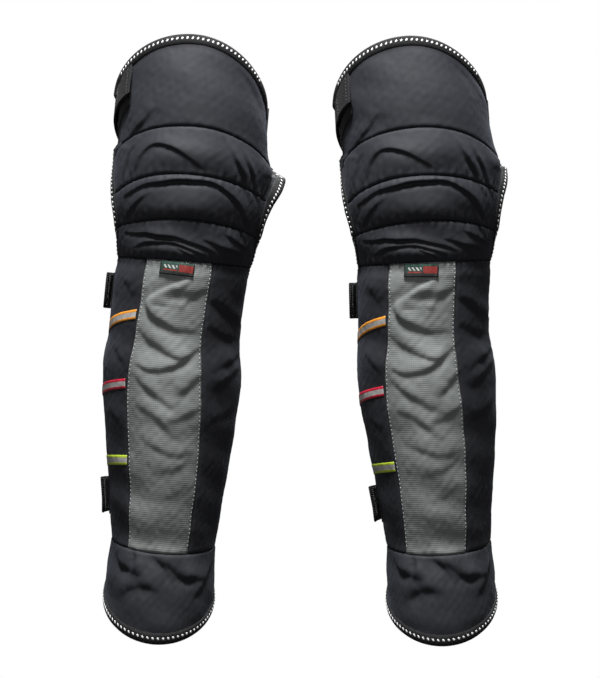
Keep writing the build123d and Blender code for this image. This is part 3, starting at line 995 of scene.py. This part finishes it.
def make_layers(side):
    halves = [
        ("thigh", (TOP + 0.01, KNEE_AXIS - KNEE_SPLIT), (0.30, 0.20), 0.042),
        ("shin", (KNEE_AXIS + KNEE_SPLIT, HEM - 0.01), (0.32, 0.44), 0.115),
    ]
    for half, span, flat, area in halves:
        padding = make_layer(side, f"{half}_wadding_fill", span, WADDING_FRONT, WADDING_BACK,
                             WADDING_FOLLOW, "wadding", WADDING_GRID, 0.6, lambda t, s: 0.0)
        lining = make_layer(side, f"{half}_lining_plush", span, LINING_FRONT, LINING_BACK,
                            DEEP_FOLLOW, "plush_lining", LINING_GRID, 0.0, quilting)


# --- edge binding -------------------------------------------------------------------------------

BINDING_REACH = 9.0  # how far the binding reaches onto the cloth
BINDING_NOSE = 2.8  # how far it stands beyond the edge
DOT_PITCH = 5.5


def edge_path(half):
    """The bound edge of a half as (t, s), from the knee at -X, round and back to the knee at +X."""
    gap, end, count = (-KNEE_SPLIT, TOP, 160) if half == "thigh" else (KNEE_SPLIT, HEM, 420)
    down = np.linspace(KNEE_AXIS + gap, end, count)
    corner = edge_angle(np.array(float(end)))
    round_t = np.linspace(-corner, corner, 260)[1:-1]
    t = np.concatenate([-edge_angle(down), round_t, edge_angle(down[::-1])])
    s = np.concatenate([down, np.full_like(round_t, end), down[::-1]])
    return t, s


def even_path(t, s, spacing):
    """The path again with points an even distance apart."""
    run = run_along(form(t, s))
    even = np.linspace(0, run[-1], int(run[-1] / spacing) + 1)
    return np.interp(even, run, t), np.interp(even, run, s), even


def inward(t, s):
    """For each point of an edge path, the change of t and s that goes 1 mm into the cloth."""
    inner_s = np.clip(s, 0.02, HEM - 0.02)
    per_t = np.linalg.norm(form(t + 0.5, inner_s) - form(t - 0.5, inner_s), axis=-1)
    per_s = np.linalg.norm(form(t, inner_s + 0.01) - form(t, inner_s - 0.01), axis=-1) / 0.02
    step_t = np.gradient(t) * per_t
    step_s = np.gradient(s) * per_s
    length = np.hypot(step_t, step_s)
    go_t, go_s = -step_s / length, step_t / length
    middle = len(t) // 2
    if (len(RINGS) / 2 - s[middle]) * go_s[middle] < 0:
        go_t, go_s = -go_t, -go_s
    for _ in range(3):
        go_t, go_s = (np.convolve(np.pad(go, 2, mode="edge"), np.ones(5) / 5, mode="valid")
                      for go in (go_t, go_s))
    length = np.hypot(go_t, go_s)
    return go_t / length / per_t, go_s / length / per_s


def make_binding(side, half):
    t, s, run = even_path(*edge_path(half), 2.0)
    dt, ds = inward(t, s)

    def at(depth, offset):
        """The edge again, some mm into the cloth, and offset from its outer face."""
        follow = 1.0 if offset > LINING_BACK / 2 else DEEP_FOLLOW
        return skin(t + dt * depth, np.clip(s + ds * depth, 0, HEM), side, offset, follow)

    outer_edge, inner_edge = at(0.0, 0.9), at(0.0, LINING_BACK - 0.8)
    away = unit(outer_edge - at(3.0, 0.9))
    middle, half_gap = (outer_edge + inner_edge) / 2, (outer_edge - inner_edge) / 2
    rows = [at(BINDING_REACH, 0.15), at(BINDING_REACH - 0.5, 0.75), at(5.5, 1.0), at(2.8, 1.05)]
    for angle in np.radians([80, 45, 15, -15, -45, -80]):
        nose = away * (BINDING_NOSE * math.cos(angle))
        rows.append(middle + half_gap * math.sin(angle) + nose)
    under = [(2.8, 0.9), (5.5, 0.9), (BINDING_REACH, 0.7), (BINDING_REACH, 0.1), (5.0, 0.1)]
    rows += [at(depth, LINING_BACK - lift) for depth, lift in under]
    rows += [inner_edge * 0.5 + at(2.0, LINING_BACK) * 0.5, outer_edge * 0.5 + at(2.0, 0.2) * 0.5,
             at(5.0, 0.15)]
    loops = np.stack(rows, axis=1)
    uv = mesh_grid(run / 1000, np.linspace(0, 0.03, loops.shape[1]))
    obj = tube(f"{side}_{half}_binding_tape", place(loops, side), uv)
    finish_piece(obj, side, "binding", f"{half}_binding")
    make_dots(side, half, at(3.3, 1.15), at(5.0, 1.15), at(1.7, 1.1))


def ball(stretch, rings=5, segments=8):
    """Vertices and faces of a small ball stretched along its three axes."""
    polar = np.repeat(math.pi * np.arange(1, rings) / rings, segments)
    turn = np.tile(math.tau * np.arange(segments) / segments, rings - 1)
    body = np.stack([np.sin(polar) * np.cos(turn), np.sin(polar) * np.sin(turn), np.cos(polar)], 1)
    verts = np.vstack([(0, 0, 1), body, (0, 0, -1)]) * stretch
    last, base = len(verts) - 1, len(verts) - 1 - segments
    after = [(j + 1) % segments for j in range(segments)]
    faces = [(0, 1 + j, 1 + after[j]) for j in range(segments)]
    for first in range(1, base, segments):
        faces += [(first + j, first + j + segments, first + after[j] + segments, first + after[j])
                  for j in range(segments)]
    return verts, faces + [(last, base + after[j], base + j) for j in range(segments)]


def scatter(name, side, centres, along, across, out, stretch, turn=0.0):
    """One mesh of equal small balls, each with its own three directions."""
    verts, faces = ball(stretch)
    centres, (along, across, out) = place(centres, side), turned(side, along, across, out)
    c, s = math.cos(turn), math.sin(turn)
    along, across = along * c + across * s, across * c - along * s
    merged = [centre + verts @ np.stack(axes)
              for centre, *axes in zip(centres, along, across, out)]
    starts = range(0, len(centres) * len(verts), len(verts))
    all_faces = [tuple(start + v for v in face) for start in starts for face in faces]
    merged = np.concatenate(merged)
    return new_object(name, merged, all_faces, merged[:, [0, 2]])


def under_strap(points):
    """Which points of an edge lie under a strap."""
    x, y, z = points.T
    reach = STRAP_WIDTH / 2 + 1.5
    tilt = math.radians(THIGH_STRAP_TILT)
    up_thigh = (y - THIGH_STRAP_Y) * math.sin(tilt) + (z - THIGH_STRAP_Z) * math.cos(tilt)
    hidden = (np.abs(up_thigh) < reach) & (np.abs(x) > 50)
    for level in (CALF_STRAP_Z, ANKLE_STRAP_Z):
        hidden |= np.abs(z - level) < reach
    return hidden


DOT_SIZE = (1.85, 1.2, 0.5)
DOT_SLANT = math.radians(55)


def make_dots(side, half, middle, inner, outer):
    run = run_along(middle)
    spots = np.arange(DOT_PITCH, run[-1] - DOT_PITCH / 2, DOT_PITCH)
    spots = spots[~under_strap(on_line(middle, run, spots))]
    along = unit(on_line(middle, run, spots + 0.7) - on_line(middle, run, spots - 0.7))
    across = unit(on_line(outer, run, spots) - on_line(inner, run, spots))
    obj = scatter(f"{side}_{half}_binding_dots", side, on_line(middle, run, spots), along, across,
                  unit(np.cross(along, across)), DOT_SIZE, DOT_SLANT)
    finish_piece(obj, side, "binding_dots")


# --- strips that lie on the cloth ---------------------------------------------------------------


def strip(name, side, t, s, lift, thick, uv_across):
    """A thin rounded strip: t and s are grids, rows along the strip and columns across it."""
    top, bottom = skin(t, s, side, lift + thick), skin(t, s, side, lift)
    for rim in (0, -1):
        top[:, rim] = top[:, rim] * 0.6 + bottom[:, rim] * 0.4
    uv = mesh_grid(np.radians(t[:, 0] - t[0, 0]) * ROUND / 1000, uv_across)
    return shell(name, place(top, side), place(bottom, side), uv)


TAPES = {  # height at the side of the leg, and the slope from front to back, degrees
    "tape_orange": (-108.0, 15.0),
    "tape_red": (-175.0, 9.5),
    "tape_lime": (-249.0, 3.5),
}
TAPE_WIDTH = 10.5


def make_tape(side, name):
    height, slope = TAPES[name]
    t_line = np.linspace(-123.0, -34.0, 96)
    middle_y = form(t_line, place_of_height(t_line, height))[..., 1]
    z = height - middle_y * math.tan(math.radians(slope))
    stop = wear_angle(place_of_height(np.array([-40.0]), np.array([height])), 0)[0]
    keep = t_line < stop - 0.4
    t_line, z = t_line[keep], z[keep]
    across = np.linspace(-TAPE_WIDTH / 2, TAPE_WIDTH / 2, 9)
    t = np.repeat(t_line[:, None], len(across), axis=1)
    s = place_of_height(t, z[:, None] + across[None, :])
    obj = strip(f"{side}_{name}_strip", side, t, s, 0.15, 0.5, np.linspace(0, 1, len(across)))
    finish_piece(obj, side, name, name, "shin")


LABEL_SPAN = (-18.5, 10.8)
LABEL_TOP, LABEL_HEIGHT = -35.0, 13.4
LABEL_SLOPE = 0.05  # mm down per degree


def make_label(side):
    t_line = np.linspace(*LABEL_SPAN, 26)
    heights = LABEL_TOP - np.linspace(0, LABEL_HEIGHT, 14)
    t, z = np.meshgrid(t_line, heights, indexing="ij")
    s = place_of_height(t, z - LABEL_SLOPE * (t - LABEL_SPAN[0]))
    top = skin(t, s, side, 1.5, 0.7)
    hang = np.linspace(0, 1, len(heights))[None, :]
    top[..., 1] -= 0.7 * np.sin(hang * math.pi * 0.8) + 0.2 * hang
    bottom = top.copy()
    bottom[..., 1] += 0.9
    uv = mesh_grid(np.linspace(0, 1, 26), np.linspace(1, 0, 14))
    obj = shell(f"{side}_label_woven", place(top, side), place(bottom, side), uv)
    finish_piece(obj, side, "label", "label", "shin")


def make_wear_stitching(side):
    """A row of stitches down each side of the wear panel."""
    s = np.linspace(LOW_SEAM + 0.03, CUFF_SEAM - 0.03, 500)
    length, gap, inset = 2.8, 1.6, math.degrees(2.6 / ROUND)
    for index, shift in ((0, inset), (1, -inset)):
        t = wear_angle(s, index) + shift
        points = skin(t, s, side, 0.25)
        run = run_along(points)
        spots = np.arange(length, run[-1] - length, length + gap)
        centres = on_line(points, run, spots)
        along = unit(on_line(points, run, spots + 1) - centres)
        out = unit(form_normals(np.interp(spots, run, t), np.interp(spots, run, s)))
        obj = scatter(f"{side}_wear_panel_stitching_{index + 1}", side, centres, along,
                      unit(np.cross(out, along)), out, (length / 2, 0.42, 0.36))
        finish_piece(obj, side, "thread_pale", body="shin")


# --- straps -------------------------------------------------------------------------------------

STRAP_WIDTH, STRAP_THICK = 38.0, 2.6
SEWN_LIFT, CLOSED_LIFT = 1.0, 3.7
CALF_STRAP_Z, ANKLE_STRAP_Z = -70.0, -286.0
THIGH_STRAP_Z, THIGH_STRAP_Y, THIGH_STRAP_TILT = 121.0, 27.0, 30.0
THIGH_STRAP_X, THIGH_STRAP_HALF_WIDTH, THIGH_STRAP_HALF_DEPTH = -6.2, 79.6, 88.0
THIGH_STRAP_RISE = 6.0  # how much higher its free end closes
THIGH_BASE = (91.0, 131.4)
FLARE_SPAN = 24.0  # degrees of a strap's end over which it stands off
# strap: where it turns, where it ends, the span of its hook tape, the span of its loop patch, the
# half of the guard that it hangs on, its height, and how far its end stands off
STRAPS = {
    "thigh": (132.0, 308.0, (284.0, 306.0), (-88.0, -55.5), "thigh", THIGH_STRAP_Z, 0.0),
    "calf": (96.0, 268.0, (244.0, 266.0), (-112.0, -88.0), "shin", CALF_STRAP_Z, 4.2),
    "ankle": (108.0, 268.0, (244.0, 266.0), (-122.0, -88.0), "shin", ANKLE_STRAP_Z, 4.2),
}


def strap_point(t, height, strap, offset):
    """Points of a strap: t round the back, height mm above its middle line, offset outwards."""
    turn_at, free_at, _, _, _, level, flare = STRAPS[strap]
    sunk = smooth((t - (turn_at - 60)) / 20) * (1 - smooth((t - turn_at) / 26))
    if strap == "thigh":
        middle_z, middle_x, middle_y = level, THIGH_STRAP_X, THIGH_STRAP_Y
        half_width, half_depth = THIGH_STRAP_HALF_WIDTH, THIGH_STRAP_HALF_DEPTH
        tilt = THIGH_STRAP_TILT
        sunk = sunk * 0.6 + 1.6 * smooth((t - 215) / 25) - 0.9 * smooth((t - 280) / 22)
    else:
        s = np.interp(-(level + height), -RINGS[:, 0], np.arange(len(RINGS)))
        lower = np.minimum(s.astype(int), len(RINGS) - 2)
        share = (s - lower)[..., None]
        mixed = RINGS[lower] * (1 - share) + RINGS[lower + 1] * share
        middle_z, middle_x, middle_y, half_width, half_depth, tilt, _ = np.moveaxis(mixed, -1, 0)
    lift = (SEWN_LIFT + CLOSED_LIFT) / 2 + offset - 2.6 * sunk
    lift = lift + flare * smooth((t - free_at + FLARE_SPAN) / FLARE_SPAN) ** 1.5
    turn, tilt = np.radians(t), np.radians(tilt)
    x = middle_x - (CLOSED_LIFT - SEWN_LIFT) / 2 + (half_width + lift) * np.sin(turn)
    y = middle_y - (half_depth + lift) * np.cos(tilt) * np.cos(turn)
    z = middle_z + (half_depth + lift) * np.sin(tilt) * np.cos(turn)
    if strap == "thigh":
        height = height + THIGH_STRAP_RISE * smooth((t - 235) / 45)
        y = y + height * np.sin(tilt)
        z = z + height * np.cos(tilt)
    return np.stack(np.broadcast_arrays(x, y, z), axis=-1)


def rounded_band(half_width, thick, steps=12):
    """The section of a flat band as (height, offset) points, its edges rounded."""
    r = thick / 2
    half = [(h, thick) for h in np.linspace(-half_width + r, half_width - r, steps)]
    half += [(half_width - r + r * math.sin(a), r + r * math.cos(a))
             for a in np.radians([30, 60, 90, 120, 150])]
    return np.array(half + [(-height, thick - offset) for height, offset in half])


def strap_ripple(share):
    """How far a strap ripples outwards, by the share of its length."""
    return 0.35 * np.sin(share * 23.0 + 1.0) * np.sin(share * math.pi)


def make_band(name, side, strap, span, half_width, thick, base):
    section = rounded_band(half_width, thick)
    count = int((span[1] - span[0]) / 1.6) + 2
    shape = count, len(section)
    t = np.broadcast_to(np.linspace(*span, count)[:, None], shape)
    offset = base + section[:, 1] + strap_ripple(np.linspace(0, 1, count)[:, None])
    points = strap_point(t, np.broadcast_to(section[:, 0], shape), strap, offset)
    uv = mesh_grid(np.radians(t[:, 0] - span[0]) * 78 / 1000, section[:, 0] / 1000)
    return tube(name, place(points, side), uv)


def make_strap(side, strap):
    turn, free, hook_span = STRAPS[strap][:3]
    node, name = f"{strap}_strap", f"{side}_{strap}_strap"
    band = make_band(f"{name}_webbing", side, strap, (turn, free), STRAP_WIDTH / 2, STRAP_THICK, 0)
    finish_piece(band, side, "strap_webbing", node, node)
    hook = make_band(f"{name}_hook_tape", side, strap, hook_span, STRAP_WIDTH / 2 - 1.5, 1.3, -1.5)
    finish_piece(hook, side, "hook_tape", f"{node}_hook", node)
    make_strap_stitching(side, strap, turn, free)


def make_strap_stitching(side, strap, turn, free):
    """A box of stitches near the strap's end, through the hook tape."""
    start, stop, reach = free - 21.0, free - 3.5, STRAP_WIDTH / 2 - 3.2
    corners = [(start, -reach), (stop, -reach), (stop, reach), (start, reach), (start, -reach)]
    steps = np.linspace(0, 1, 40, endpoint=False)[:, None]
    sides = [a + (np.subtract(b, a)) * steps for a, b in zip(corners, corners[1:])]
    t, height = np.vstack([*sides, corners[-1]]).T
    lift = strap_ripple((t - turn) / (free - turn))
    points = strap_point(t, height, strap, STRAP_THICK + lift + 0.05)
    run = run_along(points)
    spots = np.arange(1.5, run[-1] - 1.5, 4.2)
    centres = on_line(points, run, spots)
    along = unit(on_line(points, run, spots + 0.8) - centres)
    outside = strap_point(np.interp(spots, run, t), np.interp(spots, run, height), strap,
                          STRAP_THICK + 20.0)
    across = unit(np.cross(unit(outside - centres), along))
    obj = scatter(f"{side}_{strap}_strap_stitching", side, centres, along, across,
                  unit(np.cross(along, across)), (1.35, 0.38, 0.32))
    finish_piece(obj, side, "thread_dark", body=f"{strap}_strap")


def make_strap_base(side):
    band = make_band(f"{side}_thigh_strap_base_webbing", side, "thigh", THIGH_BASE,
                     STRAP_WIDTH / 2, STRAP_THICK, 0)
    finish_piece(band, side, "strap_webbing", "thigh_strap_base", "thigh")


def make_loop_patch(side, strap):
    span, host, level = STRAPS[strap][3:6]
    half, across = STRAP_WIDTH / 2, 30
    t_line = np.linspace(*span, 26)
    if strap == "thigh":
        t, s = np.meshgrid(t_line, np.linspace(0.08, 0.56, across), indexing="ij")
    else:
        heights = np.linspace(level + half, level - half, across)
        t, z = np.meshgrid(t_line, heights, indexing="ij")
        s = place_of_height(t, z)
    obj = strip(f"{side}_{strap}_loop_patch_pile", side, t, s, 0.12, 1.1,
                np.linspace(0, STRAP_WIDTH / 1000, across))
    finish_piece(obj, side, "loop_tape", f"{strap}_loop_patch", host)


# --- knee cup -----------------------------------------------------------------------------------

CUP_RADIUS, CUP_THICK = 63.5, 8.0
CUP_HALF_WIDTH, CUP_LOW, CUP_HIGH = 42.0, -40.0, 34.0
POCKET_HALF_WIDTH, POCKET_LOW, POCKET_HIGH = 55.0, -53.0, 45.0
POCKET_REST = 2.4  # how far inside the lining's plain back its sewn rim lies


def cup_layer(radius, half_width, low, high, rows=46, cols=54, roundness=0.28):
    """A grid over the front of a ball, inside a window with round corners."""
    u, v = np.meshgrid(np.linspace(-1, 1, cols), np.linspace(-1, 1, rows))
    x = u * np.sqrt(1 - roundness * v**2) * half_width
    z = (low + high) / 2 + v * np.sqrt(1 - roundness * u**2) * (high - low) / 2
    y = -np.sqrt(np.clip(radius**2 - x**2 - z**2, 4.0, None))
    uv = np.stack([x, z], axis=-1) / 1000
    return np.stack([x, y, z], axis=-1), uv


def make_cup(side):
    outer, uv = cup_layer(CUP_RADIUS - 0.3, CUP_HALF_WIDTH, CUP_LOW, CUP_HIGH)
    x, z = outer[..., 0], outer[..., 2]
    ribs = 0.9 * np.exp(-((((z + 3) % 13.0) - 6.5) / 1.6) ** 2)
    crown = 1 - np.maximum(np.abs(uv[..., 0]) * 1000 / CUP_HALF_WIDTH, np.abs(z + 3) / 37.0)
    ribs = ribs * smooth(crown * 5)
    inner = outer * ((CUP_RADIUS - CUP_THICK) / CUP_RADIUS)
    edge = smooth(crown * 7)[..., None]
    middle = (outer + inner) / 2
    outer, inner = (middle + (face - middle) * (0.55 + 0.45 * edge) for face in (outer, inner))
    outer = outer * (1 - ribs / CUP_RADIUS)[..., None]
    obj = shell(f"{side}_knee_cup_foam", place(outer, side), place(inner, side), uv)
    finish_piece(obj, side, "foam", "knee_cup", "shin")


def make_pocket(side):
    """The knit pocket over the cup, its rim sewn down to the lining."""
    radius = CUP_RADIUS - CUP_THICK - 0.3
    dome, uv = cup_layer(radius, POCKET_HALF_WIDTH, POCKET_LOW, POCKET_HIGH, 80, 90)
    x, z = dome[..., 0], dome[..., 2]
    t = np.degrees(np.arcsin(x / RINGS[KNEE_AXIS, 3]))
    sewn = skin(t, place_of_height(t, z), side, LINING_BACK - POCKET_REST, DEEP_FOLLOW)
    middle_z, half_z = (POCKET_LOW + POCKET_HIGH) / 2, (POCKET_HIGH - POCKET_LOW) / 2
    rim = ((x / POCKET_HALF_WIDTH) ** 4 + ((z - middle_z) / half_z) ** 4) ** 0.25
    gather = 0.5 * np.sin(np.arctan2(z - middle_z, x) * 64) * smooth((rim - 0.6) / 0.2)
    share = smooth((rim - 0.81) / 0.16)[..., None]
    cloth = dome * (1 - share) + sewn * share
    cloth = cloth * (1 - (gather * (1 - share[..., 0]) + 0.3) / radius)[..., None]
    back = cloth * (1 - 1.0 / radius)
    pocket = shell(f"{side}_cup_pocket_mesh", place(cloth, side), place(back, side), uv)
    finish_piece(pocket, side, "pocket_mesh", "cup_pocket", "shin")


# --- the pair -----------------------------------------------------------------------------------


def make_guard(side):
    make_layers(side)
    for panel in PANELS:
        make_panel(side, *panel)
    for half in ("thigh", "shin"):
        make_binding(side, half)
    for name in TAPES:
        make_tape(side, name)
    make_label(side)
    make_wear_stitching(side)
    for strap in STRAPS:
        make_strap(side, strap)
        make_loop_patch(side, strap)
    make_strap_base(side)
    make_cup(side)
    make_pocket(side)


simulate()
for side_name in SIDES:
    make_guard(side_name)

# --- floor, light and camera --------------------------------------------------------------------

scene = bpy.context.scene
low_corner, high_corner = (Vector(c) for c in CAD_BOX)
centre = (low_corner + high_corner) / 2
FLOOR_DROP = 0.62  # metres from the lowest hem to the floor
FLOOR_RADIUS = 8.0


def make_floor():
    """A pale floor, well below the guards so that they hang free of it."""
    level = low_corner.z - FLOOR_DROP
    turns = np.linspace(0, math.tau, 96, endpoint=False)
    verts = [(centre.x + FLOOR_RADIUS * math.sin(a), FLOOR_RADIUS * math.cos(a), level)
             for a in turns]
    faces = [tuple(range(len(verts)))[::-1]]
    floor = new_object("studio_floor", verts, faces, [(v[0], v[1]) for v in verts])
    m = Shader("studio_floor", Roughness=0.9, Specular_IOR_Level=0.1, Emission_Strength=0.42,
               Emission_Color=(1.0, 1.0, 1.0))
    grey = m.ramp(m.noise(3), (0.3, (0.88, 0.88, 0.88)), (0.7, (0.92, 0.92, 0.92)))
    m.feed(m.bsdf.inputs["Base Color"], grey)
    floor.data.materials.append(m.material)
    floor.visible_diffuse = floor.visible_glossy = False


def make_light(name, spot, size, watts):
    """A soft rectangular light that faces the middle of the pair."""
    data = bpy.data.lights.new(name, "AREA")
    data.shape = "RECTANGLE"
    data.size, data.size_y = size
    data.energy = watts
    lamp = bpy.data.objects.new(name, data)
    scene.collection.objects.link(lamp)
    lamp.location = spot
    lamp.rotation_euler = (centre - Vector(spot)).to_track_quat("-Z", "Y").to_euler()


make_floor()
world = bpy.data.worlds.new("studio")
world.use_nodes = True
nodes, links = world.node_tree.nodes, world.node_tree.links
backdrop = nodes.new("ShaderNodeMix")
backdrop.data_type = "RGBA"
backdrop.inputs[6].default_value = (0.10, 0.10, 0.10, 1)
backdrop.inputs[7].default_value = (1, 1, 1, 1)
links.new(nodes.new("ShaderNodeLightPath").outputs["Is Camera Ray"], backdrop.inputs[0])
links.new(backdrop.outputs[2], nodes["Background"].inputs[0])
scene.world = world
make_light("key", (centre.x - 0.12, -0.66, 2.2), (0.6, 0.5), 138)
make_light("front", (centre.x - 0.3, -2.2, 0.6), (0.6, 0.6), 4)
make_light("back", (centre.x + 0.5, 2.0, 1.6), (1.6, 1.2), 46)
sun_data = bpy.data.lights.new("sky", "SUN")
sun_data.energy = 1.6
sun_data.angle = math.radians(30)
sun = bpy.data.objects.new("sky", sun_data)
scene.collection.objects.link(sun)
sun.rotation_euler = Vector((0.1, 0.6, 1)).to_track_quat("Z", "Y").to_euler()

CAMERA_DISTANCE = 6.0
FRAME_HEIGHT = 0.716  # metres of the object's front that the picture shows
FOCUS = Vector((0.1188, 0.0, -0.1151))
camera_data = bpy.data.cameras.new("camera")
camera = bpy.data.objects.new("camera", camera_data)
scene.collection.objects.link(camera)
camera.location = FOCUS + Vector((0, -CAMERA_DISTANCE, 0))
camera.rotation_euler = (math.pi / 2, 0, 0)
camera_data.sensor_width = 36.0  # the picture's long side, its height
camera_data.lens = camera_data.sensor_width * CAMERA_DISTANCE / FRAME_HEIGHT
scene.camera = camera
scene.view_settings.view_transform = "Standard"
